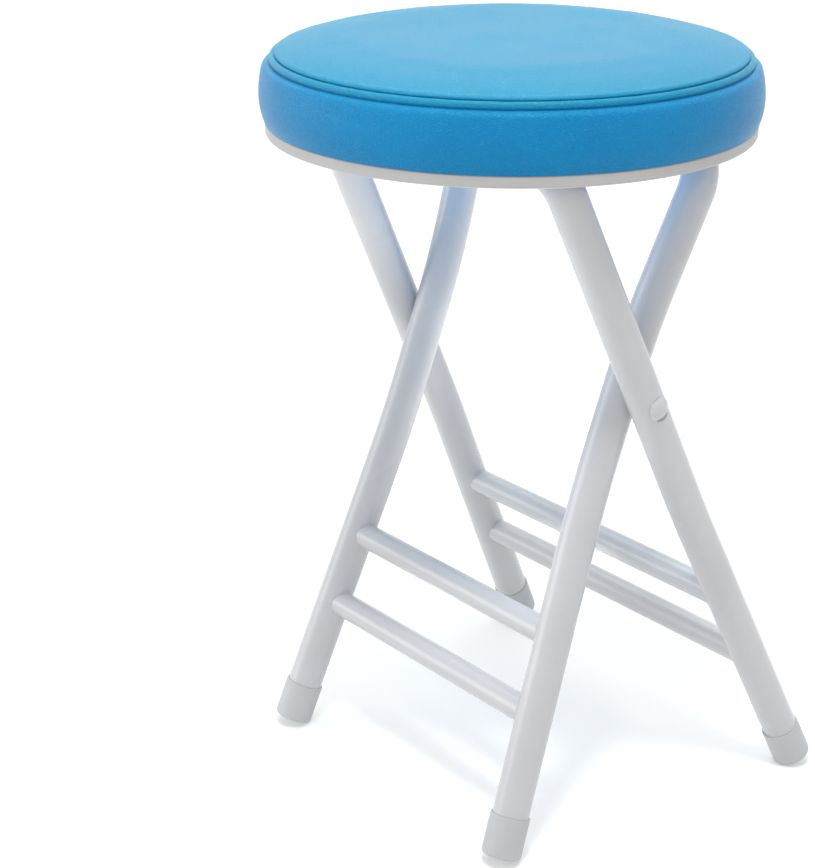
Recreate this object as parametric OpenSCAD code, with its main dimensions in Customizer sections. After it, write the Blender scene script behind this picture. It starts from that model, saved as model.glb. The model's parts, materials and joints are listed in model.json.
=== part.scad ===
// Folding stool: two inverted U tube frames that cross like scissors, one inside
// the other, and a round padded seat hinged on the outer frame's top bar.
// X runs along the top bars, Y across the two frames, Z is up. The origin is on
// the floor under the middle of the seat.

/* [Tubes] */
// Outside diameter of the bent frame tubes
tube_d = 22.5; // [20:0.5:25]
// Wall of the frame tubes and of the rungs
tube_wall = 1.2; // [1:0.1:2]
// Outside diameter of the rungs
rung_d = 16.5; // [14:0.5:19]
// Radius of the outer frame's tight bends, at the tube's centre line
outer_top_bend_r = 18; // [16:1:24]
// Radius of the inner frame's tight bends, at the tube's centre line
inner_top_bend_r = 26; // [22:1:30]
// Radius of the long soft bends in the legs
soft_bend_r = 800; // [600:50:1000]

/* [Stance] */
// Height of the pivot rivets above the floor
pivot_z = 271.6; // [255:0.2:285]
// How far the pivot lies from the seat's middle, along Y
pivot_y = 7.5; // [4:0.5:11]
// Height of the outer top bar's centre line, which the seat hinges on
outer_bar_z = 420; // [405:1:424]
// Height of the inner top bar's centre line, which the seat rests on
inner_bar_z = 415; // [400:1:420]
// Lean of the outer frame from upright
outer_tilt = 24.3; // [22:0.1:26]
// Lean of the inner frame from upright
inner_tilt = 21.4; // [19:0.1:23]
// Distance from the middle to the inner legs at the pivot
inner_half_w = 92.3; // [84:0.1:98]
// Running gap between an outer and an inner leg at the pivot
leg_gap = 0.7; // [0.5:0.1:1.4]
// Height of the two upper rungs
upper_rung_z = 131; // [122:1:140]
// Height of the two lower rungs
lower_rung_z = 85; // [75:1:95]

/* [Leg shape] */
// Outward lean of the outer legs above their soft bend
outer_upper_splay = 2.2; // [0.5:0.1:3]
// Outward lean of the outer legs below their soft bend
outer_lower_splay = 5.5; // [4:0.1:6.5]
// Distance from the pivot down to the outer legs' soft bend
outer_bend_drop = 61; // [50:1:75]
// Outward lean of the inner legs below their soft bend
inner_lower_splay = 4.7; // [3.5:0.1:5.5]
// Distance from the pivot down to the inner legs' lower soft bend
inner_bend_drop = 33; // [25:1:45]
// Outward lean of the inner legs towards their top bar
inner_top_flare = 7; // [4:0.1:8]
// Radius of the soft bend that starts that flare
flare_bend_r = 500; // [450:50:800]
// Distance from the pivot up to the inner legs' upper soft bend
inner_bend_rise = 10; // [8:1:18]

/* [Pivot rivets] */
// Diameter of a pivot rivet's shank
rivet_d = 8; // [6:0.5:9]
// Diameter of its domed head
rivet_head_d = 14.5; // [13:0.5:16]
// Height of its domed head
rivet_head_h = 3.2; // [2.5:0.1:4]
// Depth of the flat pressed in the tube under the head
head_flat = 1; // [0.6:0.1:1.4]
// Diameter of the tail that holds it inside the inner leg
rivet_tail_d = 11; // [10:0.5:12]
// Thickness of that tail
rivet_tail_t = 2; // [1.5:0.1:3]
// Clearance between the tail's edge and the inner leg's wall
rivet_tail_gap = 0.5; // [0.3:0.1:1]
// Running clearance round every turning shank or bar
turn_gap = 0.08; // [0.04:0.01:0.1]

/* [Feet] */
// Wall of a foot cap
cap_wall = 1; // [0.8:0.1:1.6]
// Length of a foot cap
cap_len = 25.5; // [20:0.5:32]
// Thickness of a cap's closed bottom
cap_floor = 3.5; // [2.5:0.5:5]
// Rounding of a cap's bottom edge
cap_round = 1.5; // [1:0.1:3]
// Slip clearance of a cap on its tube
cap_gap = 0.05; // [0.02:0.01:0.1]

/* [Seat pan] */
// Outside diameter of the pan's rim
rim_d = 292; // [286:1:294]
// Height of the visible rim
rim_h = 7.25; // [6:0.25:10]
// Height of the rim's lower edge above the inner top bar's centre line
rim_lift = 0.75; // [0:0.25:2]
// Wall of the moulded pan
pan_wall = 2.5; // [2:0.1:3]
// Thickness of the skirt that hangs from the rim
rim_wall = 3; // [2.4:0.1:3.4]
// Width of the ledge that the cover's hem sits on
hem_ledge = 4; // [3:0.5:5]
// Clearance between the swinging top bar and the pan's roof
roof_gap = 0.8; // [0.6:0.1:1.4]
// Thickness of the plywood board
board_t = 9; // [7:0.5:11]
// How far the board's edge lies inside the pan's wall
board_inset = 2; // [1:0.5:4]

/* [Cushion] */
// How far the cushion stands out past the rim at its widest
pad_over = 3.1; // [1:0.1:5]
// Thickness of the foam over the board
foam_t = 21.9; // [16:0.1:24]
// Thickness of the vinyl cover
cover_t = 1.2; // [0.8:0.1:1.6]
// Height of the widest level above the hem
bulge_h = 15; // [13:0.5:16]
// Radius of the side below the widest level
under_r = 40; // [36:1:44]
// Radius of the side above the widest level
side_r = 60; // [54:1:66]
// Radius of the shoulder under the outer groove
shoulder_r = 5; // [4.5:0.1:6]
// Radius of the raised bead between the two grooves
bead_r = 2.6; // [2.5:0.1:3.6]
// Distance from the outer groove in to the inner groove
groove_in = 2.2; // [1.8:0.1:3]
// How far the outer groove is drawn in by its seam
outer_groove_dip = 0.4; // [0.2:0.1:1]
// How far the inner groove is drawn in by its seam
inner_groove_dip = 1; // [0.4:0.1:1.2]
// Radius of the top panel's edge
top_edge_r = 3.2; // [2.5:0.1:3.5]
// Drop of the crown from the flat middle to the top panel's edge
crown_drop = 8.1; // [4:0.1:10]
// Diameter of the flat middle of the cushion
flat_d = 180; // [140:5:200]

/* [Hinges and catches] */
// Distance from the middle to each hinge
hinge_x = 52; // [40:1:58]
// Width of a hinge block along the bar
block_w = 24; // [20:1:30]
// Width of a hinge strap along the bar
strap_w = 18; // [14:1:20]
// Thickness of the strap's steel
strap_t = 1.5; // [1.2:0.1:2]
// Length of each strap foot on the pan's roof
strap_foot = 14; // [12:0.5:15]
// Distance from the middle to each catch
catch_x = 60; // [45:1:70]
// Width of a catch along the bar
catch_w = 26; // [20:1:32]
// Thickness of the catch's outer wall behind the bar
catch_wall = 6; // [5:0.5:8]
// How far round the bar's top the catch reaches
catch_wrap = 62; // [55:1:64]
// Clearance between the resting bar and its catch
catch_gap = 0.3; // [0.2:0.05:0.4]
// Thickness of the catch's screw foot
catch_foot_t = 3; // [2.5:0.5:4]
// Length of the catch's screw foot behind its wall
catch_foot = 14; // [12:1:16]
// Diameter of the wood screws' shanks
screw_d = 3.8; // [3:0.1:4.2]
// Diameter of the wood screws' heads
screw_head_d = 7.4; // [6.5:0.1:8]
// Height of the wood screws' heads
screw_head_h = 2.2; // [1.8:0.1:2.4]
// How deep the screws bite into the board
screw_bite = 7; // [5:0.5:8]

/* [Hidden] */
$fn = 96;
// Fineness of the soft bends, whose arcs are only a few degrees long
soft_fn = 1440;
// Straight runs are thinner than the bends by this, and reach this far into them
seam_step = 0.01;
seam_bite = 0.2;
// How far a cut runs past the face that it opens
past = 1;
left = -1;
right = 1;

// Both frames are drawn upright, with the pivot at their own origin
tube_r = tube_d / 2;
cap_r = tube_r + cap_gap + cap_wall;
outer_half_w = inner_half_w + tube_d + leg_gap;
outer_arm = (outer_bar_z - pivot_z) / cos(outer_tilt);
inner_arm = (inner_bar_z - pivot_z) / cos(inner_tilt);
hinge_bar_y = pivot_y - outer_arm * sin(outer_tilt);
catch_bar_y = pivot_y + inner_arm * sin(inner_tilt);

// Height of a cap's bottom centre when its rounded edge stands on the floor
function cap_lift(tilt, splay) =
    let (lean = acos(cos(tilt) * cos(splay)))
    (cap_r - cap_round) * sin(lean) + cap_round * (1 - cos(lean));
// Where a leg's cap ends, measured down the frame from the pivot
function foot_level(tilt, splay) = (pivot_z - cap_lift(tilt, splay)) / cos(tilt);

// Outer legs, from the top bend down
outer_run_up = (outer_arm - outer_top_bend_r + outer_top_bend_r * sin(outer_upper_splay))
    / cos(outer_upper_splay);
outer_half_bar = outer_half_w - outer_top_bend_r * cos(outer_upper_splay)
    - outer_run_up * sin(outer_upper_splay);
outer_turn = outer_lower_splay - outer_upper_splay;
outer_bend_end = outer_bend_drop * cos(outer_upper_splay)
    + soft_bend_r * (sin(outer_lower_splay) - sin(outer_upper_splay));
outer_bend_x = outer_half_w + outer_bend_drop * sin(outer_upper_splay)
    + soft_bend_r * (cos(outer_upper_splay) - cos(outer_lower_splay));
outer_low_run = (foot_level(outer_tilt, outer_lower_splay) - outer_bend_end)
    / cos(outer_lower_splay);
outer_steps = [
    [0, outer_top_bend_r, 90 - outer_upper_splay],
    [outer_run_up + outer_bend_drop, soft_bend_r, -outer_turn],
    [outer_low_run - cap_floor, 0, 0]];

// Inner legs, from the top bend down
inner_flare_z = inner_bend_rise + flare_bend_r * sin(inner_top_flare);
inner_flare_x = inner_half_w + flare_bend_r * (1 - cos(inner_top_flare));
inner_run_up = (inner_arm - inner_top_bend_r * (1 + sin(inner_top_flare)) - inner_flare_z)
    / cos(inner_top_flare);
inner_half_bar = inner_flare_x + inner_run_up * sin(inner_top_flare)
    - inner_top_bend_r * cos(inner_top_flare);
inner_bend_end = inner_bend_drop + soft_bend_r * sin(inner_lower_splay);
inner_bend_x = inner_half_w + soft_bend_r * (1 - cos(inner_lower_splay));
inner_low_run = (foot_level(inner_tilt, inner_lower_splay) - inner_bend_end)
    / cos(inner_lower_splay);
inner_steps = [
    [0, inner_top_bend_r, 90 + inner_top_flare],
    [inner_run_up, flare_bend_r, -inner_top_flare],
    [inner_bend_rise + inner_bend_drop, soft_bend_r, -inner_lower_splay],
    [inner_low_run - cap_floor, 0, 0]];

// The seat's levels are stacked up from the inner top bar
rim_z = inner_bar_z + rim_lift;
hem_z = rim_z + rim_h;
swing_rise = inner_arm * (1 - cos(inner_tilt));
roof_z = inner_bar_z + tube_r + swing_rise + roof_gap;
board_z = roof_z + pan_wall;
foam_z = board_z + board_t;
top_z = foam_z + foam_t + cover_t;
rim_r = rim_d / 2;
wall_r = rim_r - hem_ledge;
pad_r = rim_r + pad_over;
board_r = wall_r - board_inset;

// Cushion profile, as arcs that follow one another up the side
bulge_z = hem_z + bulge_h;
side_c = [pad_r - side_r, bulge_z];
under_c = [pad_r - under_r, bulge_z];
under_a = asin(bulge_h / under_r);
side_a = 14.8;
shoulder_c = side_c + (side_r - shoulder_r) * [cos(side_a), sin(side_a)];
shoulder_a = 96;
outer_groove = shoulder_c + shoulder_r * [cos(shoulder_a), sin(shoulder_a)];
edge_z = top_z - crown_drop;
edge_a = 10;
inner_groove = [outer_groove[0] - groove_in, edge_z - top_edge_r * (1 - sin(edge_a))];
edge_c = inner_groove - top_edge_r * [cos(edge_a), sin(edge_a)];
bead_mid = (outer_groove + inner_groove) / 2;
bead_half = norm(inner_groove - outer_groove) / 2;
bead_out = atan2(inner_groove[1] - outer_groove[1], inner_groove[0] - outer_groove[0]) - 90;
bead_c = bead_mid - sqrt(bead_r * bead_r - bead_half * bead_half)
    * [cos(bead_out), sin(bead_out)];
bead_a = asin(bead_half / bead_r);

// Points along an arc, both ends included
function arc(c, r, a0, a1, n) =
    [for (i = [0 : n]) let (a = a0 + (a1 - a0) * i / n) c + r * [cos(a), sin(a)]];
// The crown from the top panel's edge in to the flat middle
function crown(r0, z0, n) =
    [for (i = [0 : n]) let (t = 1 - i / n) [flat_d / 2 + (r0 - flat_d / 2) * t,
        z0 + crown_drop * (1 - t * t)]];

cushion_outline = concat(
    arc(under_c, under_r, -under_a, 0, 6),
    arc(side_c, side_r, 3, side_a, 5),
    arc(shoulder_c, shoulder_r, side_a + 10, shoulder_a - 6, 5),
    [outer_groove - outer_groove_dip * [0.7, 0.7]],
    arc(bead_c, bead_r, bead_out - bead_a + 10, bead_out + bead_a - 10, 7),
    [inner_groove - inner_groove_dip * [0.8, 0.6]],
    arc(edge_c, top_edge_r, edge_a + 6, 85, 4),
    crown(edge_c[0], edge_z, 6));
// The foam has no beads: its shoulder runs straight under both grooves
foam_a = 11;
foam_outline = concat(
    [[wall_r, hem_z + cover_t]],
    arc(under_c, under_r - cover_t, cover_t - under_a, 0, 6),
    arc(side_c, side_r - cover_t, 3, foam_a, 3),
    [[outer_groove[0] - 2.9, outer_groove[1] - cover_t / 2],
     [inner_groove[0] - 2.4, inner_groove[1] - cover_t],
     [edge_c[0] - 3, edge_z - cover_t]],
    crown(edge_c[0] - 6, edge_z - cover_t, 6));

// Hinges and catches
hinge_z = roof_z - outer_bar_z;
catch_z = roof_z - inner_bar_z;
strap_in = tube_r + catch_gap;
strap_out = strap_in + strap_t;
hinge_screw_y = strap_out + strap_foot / 2;
catch_in = tube_r + catch_gap;
catch_back = catch_in + catch_wall;
catch_front = catch_in * cos(catch_wrap);
catch_lip = 4;
catch_screw_y = catch_back + catch_foot / 2;
catch_screw_x = catch_w / 4;
pilot_r = screw_d / 2 + 0.05;
bore_r = rivet_d / 2 + turn_gap;
// How far from the inner leg's axis the tail's edge clears the leg's wall
tail_reach = sqrt(pow(tube_r - tube_wall - rivet_tail_gap, 2) - pow(rivet_tail_d / 2, 2));

// Draws a tube of diameter d along straight runs and bends. Each step is a run's
// length, then a bend's radius and its angle, which is positive towards +X.
module tube_path(d, steps, extra = 0, i = 0) {
    if (i < len(steps)) {
        last = i == len(steps) - 1;
        run = steps[i][0] + (last ? extra : 0);
        if (run > 0)
            translate([0, 0, -seam_bite])
                cylinder(h = run + (last ? 1 : 2) * seam_bite, d = d - 2 * seam_step);
        translate([0, 0, run]) {
            if (steps[i][2] != 0)
                bend(d, steps[i][1], steps[i][2]);
            past_bend(steps[i][1], steps[i][2])
                tube_path(d, steps, extra, i + 1);
        }
    }
}

// One bend of a tube, from the origin and +Z towards +X, or -X if turn is negative
module bend(d, r, turn) {
    mirror([turn > 0 ? 1 : 0, 0, 0])
        translate([-r, 0, 0])
            rotate([90, 0, 0])
                rotate_extrude(angle = abs(turn), $fn = r > 100 ? soft_fn : $fn)
                    translate([r, 0])
                        circle(d = d, $fn = 96);
}

// Puts its children at the end of a bend
module past_bend(r, turn) {
    side = turn > 0 ? 1 : -1;
    translate([side * r * (1 - cos(turn)), 0, r * sin(abs(turn))])
        rotate([0, turn, 0])
            children();
}

// Puts its children at the end of a path of runs and bends
module at_end(steps, i = 0) {
    if (i < len(steps))
        translate([0, 0, steps[i][0]])
            past_bend(steps[i][1], steps[i][2])
                at_end(steps, i + 1)
                    children();
    else
        children();
}

// Puts its children where a leg's path starts, beside the top bar
module leg_start(arm, half_bar, side) {
    mirror([side == left ? 1 : 0, 0, 0])
        translate([half_bar, 0, arm])
            rotate([0, 90, 0])
                children();
}

// A whole bent frame: the top bar and both legs, as one solid of diameter d
module frame_sweep(d, arm, half_bar, steps, extra = 0) {
    translate([0, 0, arm])
        rotate([0, 90, 0])
            cylinder(h = 2 * (half_bar + seam_bite), d = d - 2 * seam_step, center = true);
    for (side = [left, right])
        leg_start(arm, half_bar, side)
            tube_path(d, steps, extra);
}

// Puts a frame that is drawn upright on its pivot and leans it
module lean(tilt) {
    translate([0, pivot_y, pivot_z])
        rotate([tilt, 0, 0])
            children();
}

// A cylinder along +X from x0 to x1
module rod(x0, x1, d) {
    translate([x0, 0, 0])
        rotate([0, 90, 0])
            cylinder(h = x1 - x0, d = d);
}

// The pressed flats that the rivet heads sit on, cut back by depth
module head_flats(depth, d) {
    for (side = [0, 1])
        mirror([side, 0, 0])
            rod(outer_half_w + tube_r - depth, outer_half_w + tube_r + past, d);
}

module outer_solid() {
    difference() {
        frame_sweep(tube_d, outer_arm, outer_half_bar, outer_steps);
        head_flats(head_flat, rivet_head_d + 1);
    }
}

module outer_tube() {
    color("gainsboro")
        lean(outer_tilt)
            difference() {
                outer_solid();
                difference() {
                    frame_sweep(tube_d - 2 * tube_wall, outer_arm, outer_half_bar,
                        outer_steps, past);
                    head_flats(head_flat + tube_wall, rivet_head_d + 1 + 2 * tube_wall);
                }
                rod(-outer_half_w - tube_d, outer_half_w + tube_d, 2 * bore_r);
            }
}

module inner_tube() {
    color("gainsboro")
        lean(-inner_tilt)
            difference() {
                frame_sweep(tube_d, inner_arm, inner_half_bar, inner_steps);
                frame_sweep(tube_d - 2 * tube_wall, inner_arm, inner_half_bar,
                    inner_steps, past);
                for (side = [0, 1])
                    mirror([side, 0, 0])
                        rod(inner_half_w, inner_half_w + tube_d, 2 * bore_r);
            }
}

// A rung at a height above the floor, cut at both ends to the legs' round sides
module rung(tilt, z, bend_x, bend_end, splay) {
    drop = (pivot_z - z) / cos(tilt);
    half = bend_x + (drop - bend_end) * tan(splay);
    translate([0, 0, -drop])
        difference() {
            rod(-half, half, rung_d);
            rod(-half - past, half + past, rung_d - 2 * tube_wall);
        }
}

module outer_rung(z) {
    color("gainsboro")
        lean(outer_tilt)
            difference() {
                rung(outer_tilt, z, outer_bend_x, outer_bend_end, outer_lower_splay);
                frame_sweep(tube_d, outer_arm, outer_half_bar, outer_steps);
            }
}

module inner_rung(z) {
    color("gainsboro")
        lean(-inner_tilt)
            difference() {
                rung(inner_tilt, z, inner_bend_x, inner_bend_end, inner_lower_splay);
                frame_sweep(tube_d, inner_arm, inner_half_bar, inner_steps);
            }
}

// A slip-on foot cap, drawn with the tube's end at its own origin and the cap's
// bottom on the +Z side
module foot_cap() {
    cup_r = tube_r + cap_gap;
    mouth = cap_floor - cap_len;
    rotate_extrude()
        difference() {
            union() {
                translate([0, mouth])
                    square([cap_r, cap_len - cap_round]);
                translate([0, cap_floor - cap_round])
                    square([cap_r - cap_round, cap_round]);
                translate([cap_r - cap_round, cap_floor - cap_round])
                    intersection() {
                        circle(r = cap_round);
                        square(cap_round);
                    }
            }
            translate([-past, mouth - past])
                square([cup_r + past, cap_len - cap_floor + past]);
            polygon([[cap_r - 0.5, mouth - past / 2], [cap_r + past, mouth - past / 2],
                [cap_r + past, mouth + 0.5 + past], [cap_r, mouth + 0.5]]);
        }
}

module outer_foot(side) {
    color("whitesmoke")
        lean(outer_tilt)
            leg_start(outer_arm, outer_half_bar, side)
                at_end(outer_steps)
                    foot_cap();
}

module inner_foot(side) {
    color("whitesmoke")
        lean(-inner_tilt)
            leg_start(inner_arm, inner_half_bar, side)
                at_end(inner_steps)
                    foot_cap();
}

// A domed head on the plane z = 0, with its shank's axis along Z
module dome(d, h) {
    ball_r = (d * d / 4 + h * h) / (2 * h);
    intersection() {
        translate([0, 0, h - ball_r])
            sphere(r = ball_r);
        cylinder(h = h, d = d);
    }
}

// A pivot rivet along +X, through the outer leg and the near wall of the inner leg.
// Its tail is set inside that leg.
module pivot_rivet(side) {
    head_x = outer_half_w + tube_r - head_flat;
    tail_x = inner_half_w + tail_reach;
    color("gainsboro")
        lean(outer_tilt)
            mirror([side == left ? 1 : 0, 0, 0])
                union() {
                    rod(tail_x - rivet_tail_t, head_x, rivet_d);
                    rod(tail_x - rivet_tail_t, tail_x, rivet_tail_d);
                    translate([head_x, 0, 0])
                        rotate([0, 90, 0])
                            dome(rivet_head_d, rivet_head_h);
                }
}

module seat_cover() {
    color("deepskyblue")
        rotate_extrude()
            difference() {
                polygon(concat([[0, bulge_z], [wall_r, bulge_z], [wall_r, hem_z]],
                    cushion_outline, [[0, top_z]]));
                polygon(concat([[-past, hem_z + cover_t]], foam_outline,
                    [[-past, top_z - cover_t]]));
            }
}

module seat_foam() {
    color("lightyellow")
        rotate_extrude()
            polygon(concat(foam_outline,
                [[0, top_z - cover_t], [0, foam_z], [board_r, foam_z], [board_r, board_z],
                 [wall_r, board_z]]));
}

// Puts its children at every screw of the hinge straps
module at_hinge_screws() {
    for (x = [-hinge_x, hinge_x], y = [-hinge_screw_y, hinge_screw_y])
        translate([x, hinge_bar_y + y, roof_z])
            children();
}

// Puts its children at every screw of the catches
module at_catch_screws() {
    for (x = [-catch_x, catch_x], dx = [-catch_screw_x, catch_screw_x])
        translate([x + dx, catch_bar_y + catch_screw_y, roof_z])
            children();
}

// The screw holes through the pan's roof and into the board
module screw_holes() {
    at_hinge_screws()
        translate([0, 0, -past])
            cylinder(h = pan_wall + screw_bite + past, r = pilot_r);
    at_catch_screws()
        translate([0, 0, -past])
            cylinder(h = pan_wall + screw_bite + past, r = pilot_r);
}

module seat_board() {
    color("burlywood")
        difference() {
            translate([0, 0, board_z])
                cylinder(h = board_t, r = board_r);
            screw_holes();
        }
}

// The moulded pan: a shallow tray turned over, whose rim shows under the cushion
module seat_pan() {
    soft = 1.4;
    color("linen")
        difference() {
            rotate_extrude()
                union() {
                    polygon([[0, roof_z], [wall_r - pan_wall, roof_z],
                        [wall_r - pan_wall, hem_z - pan_wall], [rim_r - rim_wall, hem_z - pan_wall],
                        [rim_r - rim_wall, rim_z], [rim_r - soft, rim_z], [rim_r - soft, hem_z],
                        [wall_r, hem_z], [wall_r, board_z], [0, board_z]]);
                    translate([rim_r - soft, rim_z + soft])
                        square([soft, rim_h - 2 * soft]);
                    for (z = [rim_z + soft, hem_z - soft])
                        translate([rim_r - soft, z])
                            circle(r = soft);
                }
            screw_holes();
        }
}

// The block between the pan's roof and the outer top bar, grooved for the bar
module hinge_block(side) {
    floor_z = 6;
    color("dimgray")
        translate([side * hinge_x - block_w / 2, hinge_bar_y, outer_bar_z])
            rotate([90, 0, 90])
                linear_extrude(block_w)
                    difference() {
                        translate([-strap_in, floor_z])
                            square([2 * strap_in, hinge_z - floor_z]);
                        circle(r = tube_r + turn_gap);
                    }
}

// The steel strap that holds the bar up against its block
module hinge_strap(side) {
    color("silver")
        difference() {
            translate([side * hinge_x - strap_w / 2, hinge_bar_y, outer_bar_z])
                rotate([90, 0, 90])
                    linear_extrude(strap_w)
                        difference() {
                            union() {
                                circle(r = strap_out);
                                translate([-strap_out, 0])
                                    square([2 * strap_out, hinge_z]);
                                translate([-strap_out - strap_foot, hinge_z - strap_t])
                                    square([2 * (strap_out + strap_foot), strap_t]);
                            }
                            circle(r = strap_in);
                            translate([-strap_in, 0])
                                square([2 * strap_in, hinge_z + past]);
                        }
            at_hinge_screws()
                translate([0, 0, -strap_t - past])
                    cylinder(h = strap_t + 2 * past, r = pilot_r);
        }
}

// The catch that hooks behind the inner top bar and carries the seat on it
module catch(side) {
    color("dimgray")
        difference() {
            translate([side * catch_x - catch_w / 2, catch_bar_y, inner_bar_z])
                rotate([90, 0, 90])
                    linear_extrude(catch_w)
                        difference() {
                            union() {
                                translate([catch_front, -catch_lip])
                                    square([catch_back - catch_front, catch_z + catch_lip]);
                                translate([catch_back - past, catch_z - catch_foot_t])
                                    square([catch_foot + past, catch_foot_t]);
                            }
                            circle(r = catch_in);
                            translate([0, -catch_lip - past])
                                square([catch_in, catch_lip + past]);
                        }
            at_catch_screws()
                translate([0, 0, -catch_foot_t - past])
                    cylinder(h = catch_foot_t + 2 * past, r = pilot_r);
        }
}

// A wood screw with a domed, cross-slotted head, pointing up, head below seat_t
module wood_screw(seat_t) {
    slot = 0.9;
    union() {
        translate([0, 0, -seat_t])
            cylinder(h = seat_t + pan_wall + screw_bite - 0.5, d = screw_d);
        translate([0, 0, -seat_t])
            mirror([0, 0, 1])
                difference() {
                    dome(screw_head_d, screw_head_h);
                    for (a = [0, 90])
                        rotate([0, 0, a])
                            translate([-screw_head_d / 4, -slot / 2, screw_head_h - slot])
                                cube([screw_head_d / 2, slot, slot + past]);
                }
    }
}

module hinge_screws() {
    color("silver")
        at_hinge_screws()
            wood_screw(strap_t);
}

module catch_screws() {
    color("silver")
        at_catch_screws()
            wood_screw(catch_foot_t);
}

seat_cover();
seat_foam();
seat_board();
seat_pan();
hinge_block(left);  // hinge_block_left
hinge_block(right);  // hinge_block_right
hinge_strap(left);  // hinge_strap_left
hinge_strap(right);  // hinge_strap_right
hinge_screws();
catch(left);  // catch_left
catch(right);  // catch_right
catch_screws();
inner_tube();
inner_rung(upper_rung_z);  // inner_upper_rung
inner_rung(lower_rung_z);  // inner_lower_rung
inner_foot(left);  // inner_foot_left
inner_foot(right);  // inner_foot_right
outer_tube();
outer_rung(upper_rung_z);  // outer_upper_rung
outer_rung(lower_rung_z);  // outer_lower_rung
outer_foot(left);  // outer_foot_left
outer_foot(right);  // outer_foot_right
pivot_rivet(left);  // pivot_rivet_left
pivot_rivet(right);  // pivot_rivet_right
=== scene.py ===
# %% [markdown]
# # A low folding stool
# Two bent tubes cross like scissors and carry a round padded seat. The solid
# parts come from the packed model, so this script never moves them. It adds
# what a viewer sees: the upholstered cushion, the weld beads round the rungs'
# ends, and a finish for every surface.
#
# Lengths are in metres. X runs along the rungs, Y across the two frames, Z up.

# %% Load the packed model
import json
import math

import bmesh
import bpy
import numpy as np
from mathutils import Matrix, Vector
from mathutils.kdtree import KDTree


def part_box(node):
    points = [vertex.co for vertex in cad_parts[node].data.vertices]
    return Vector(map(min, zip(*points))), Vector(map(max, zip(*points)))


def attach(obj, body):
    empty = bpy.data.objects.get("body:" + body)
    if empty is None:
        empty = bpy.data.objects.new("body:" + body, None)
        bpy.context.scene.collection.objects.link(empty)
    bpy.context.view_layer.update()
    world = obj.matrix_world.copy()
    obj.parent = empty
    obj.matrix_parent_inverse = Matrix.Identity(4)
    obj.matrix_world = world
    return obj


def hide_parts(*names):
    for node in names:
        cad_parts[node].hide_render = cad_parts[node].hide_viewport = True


MM = 0.001
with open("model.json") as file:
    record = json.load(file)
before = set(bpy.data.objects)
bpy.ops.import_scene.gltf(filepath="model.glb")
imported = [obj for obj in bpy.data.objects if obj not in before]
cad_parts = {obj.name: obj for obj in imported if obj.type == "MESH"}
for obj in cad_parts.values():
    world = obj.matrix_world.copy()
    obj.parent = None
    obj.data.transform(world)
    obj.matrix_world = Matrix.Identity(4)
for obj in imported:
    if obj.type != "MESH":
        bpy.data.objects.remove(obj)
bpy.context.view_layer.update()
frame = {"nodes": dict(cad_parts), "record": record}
nodes = frame["nodes"]
scene = bpy.context.scene

# %% [markdown]
# ## Two helpers for objects
# A mesh, a lamp or a camera is only data until an object gives it a place and a
# collection shows it. Modifiers stay live on their object, and the new mesh of
# the evaluated object is what they make. Both steps come back often here, so
# each gets a name.

# %% Object helpers


def put(name, data):
    """Shows data in the scene as a new object."""
    made = bpy.data.objects.new(name, data)
    scene.collection.objects.link(made)
    return made


def applied(source, name):
    """Swaps an object for a plain one with the mesh that its modifiers make."""
    bpy.context.view_layer.update()
    graph = bpy.context.evaluated_depsgraph_get()
    data = bpy.data.meshes.new_from_object(source.evaluated_get(graph))
    bpy.data.objects.remove(source)
    data.name = name
    return put(name, data)


# %% [markdown]
# ## The camera
# The viewpoint was found by fitting a pinhole camera to the seat's ellipse, the
# four legs and the feet. A lens of 85 mm keeps the verticals calm. The stool
# stands right of the picture's middle, and a small lens shift does that
# without turning the camera.

# %% Camera
CAMERA_PLACE = (0.92238, -0.77712, 0.69311)
CAMERA_YAW, CAMERA_PITCH, CAMERA_ROLL = 49.89, 21.92, 0.44
PICTURE_H = 868
FOCAL_PX = 2052.77
SHIFT_PX = (-101.6, 17.0)
SENSOR = 36.0

camera_data = bpy.data.cameras.new("Camera")
camera_data.sensor_width = SENSOR
camera_data.lens = FOCAL_PX / PICTURE_H * SENSOR
camera_data.shift_x, camera_data.shift_y = (px / PICTURE_H for px in SHIFT_PX)
camera = put("Camera", camera_data)
turn = (
    Matrix.Rotation(math.radians(CAMERA_YAW), 4, "Z")
    @ Matrix.Rotation(math.radians(90 - CAMERA_PITCH), 4, "X")
    @ Matrix.Rotation(math.radians(CAMERA_ROLL), 4, "Z")
)
camera.matrix_world = Matrix.Translation(CAMERA_PLACE) @ turn
scene.camera = camera
print("lens", round(camera_data.lens, 1), "mm")

# %% [markdown]
# ## Node maths that reads like arithmetic
# A node tree grows long when each sum is three lines of Python. The first class
# wraps a socket, so `grain * 0.5 + wear` adds the Math nodes by itself. The
# second wraps a tree, and its one method adds any other node. Materials, the
# world and Geometry Nodes all use this pair.

# %% Values and graphs


class Value:
    """One output socket of a node tree. A sum on it adds a Math node."""

    def __init__(self, graph, socket):
        self.graph = graph
        self.socket = socket

    def _math(self, operation, *values):
        return self.graph.node(
            "ShaderNodeMath", {"operation": operation}, dict(enumerate(values))
        )

    def __add__(self, other):
        return self._math("ADD", self, other)

    def __mul__(self, other):
        return self._math("MULTIPLY", self, other)

    def __rsub__(self, other):
        return self._math("SUBTRACT", other, self)

    __radd__ = __add__
    __rmul__ = __mul__

    def sine(self):
        return self._math("SINE", self)

    def clamp(self):
        return self.graph.node("ShaderNodeClamp", {}, {0: self})


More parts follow.
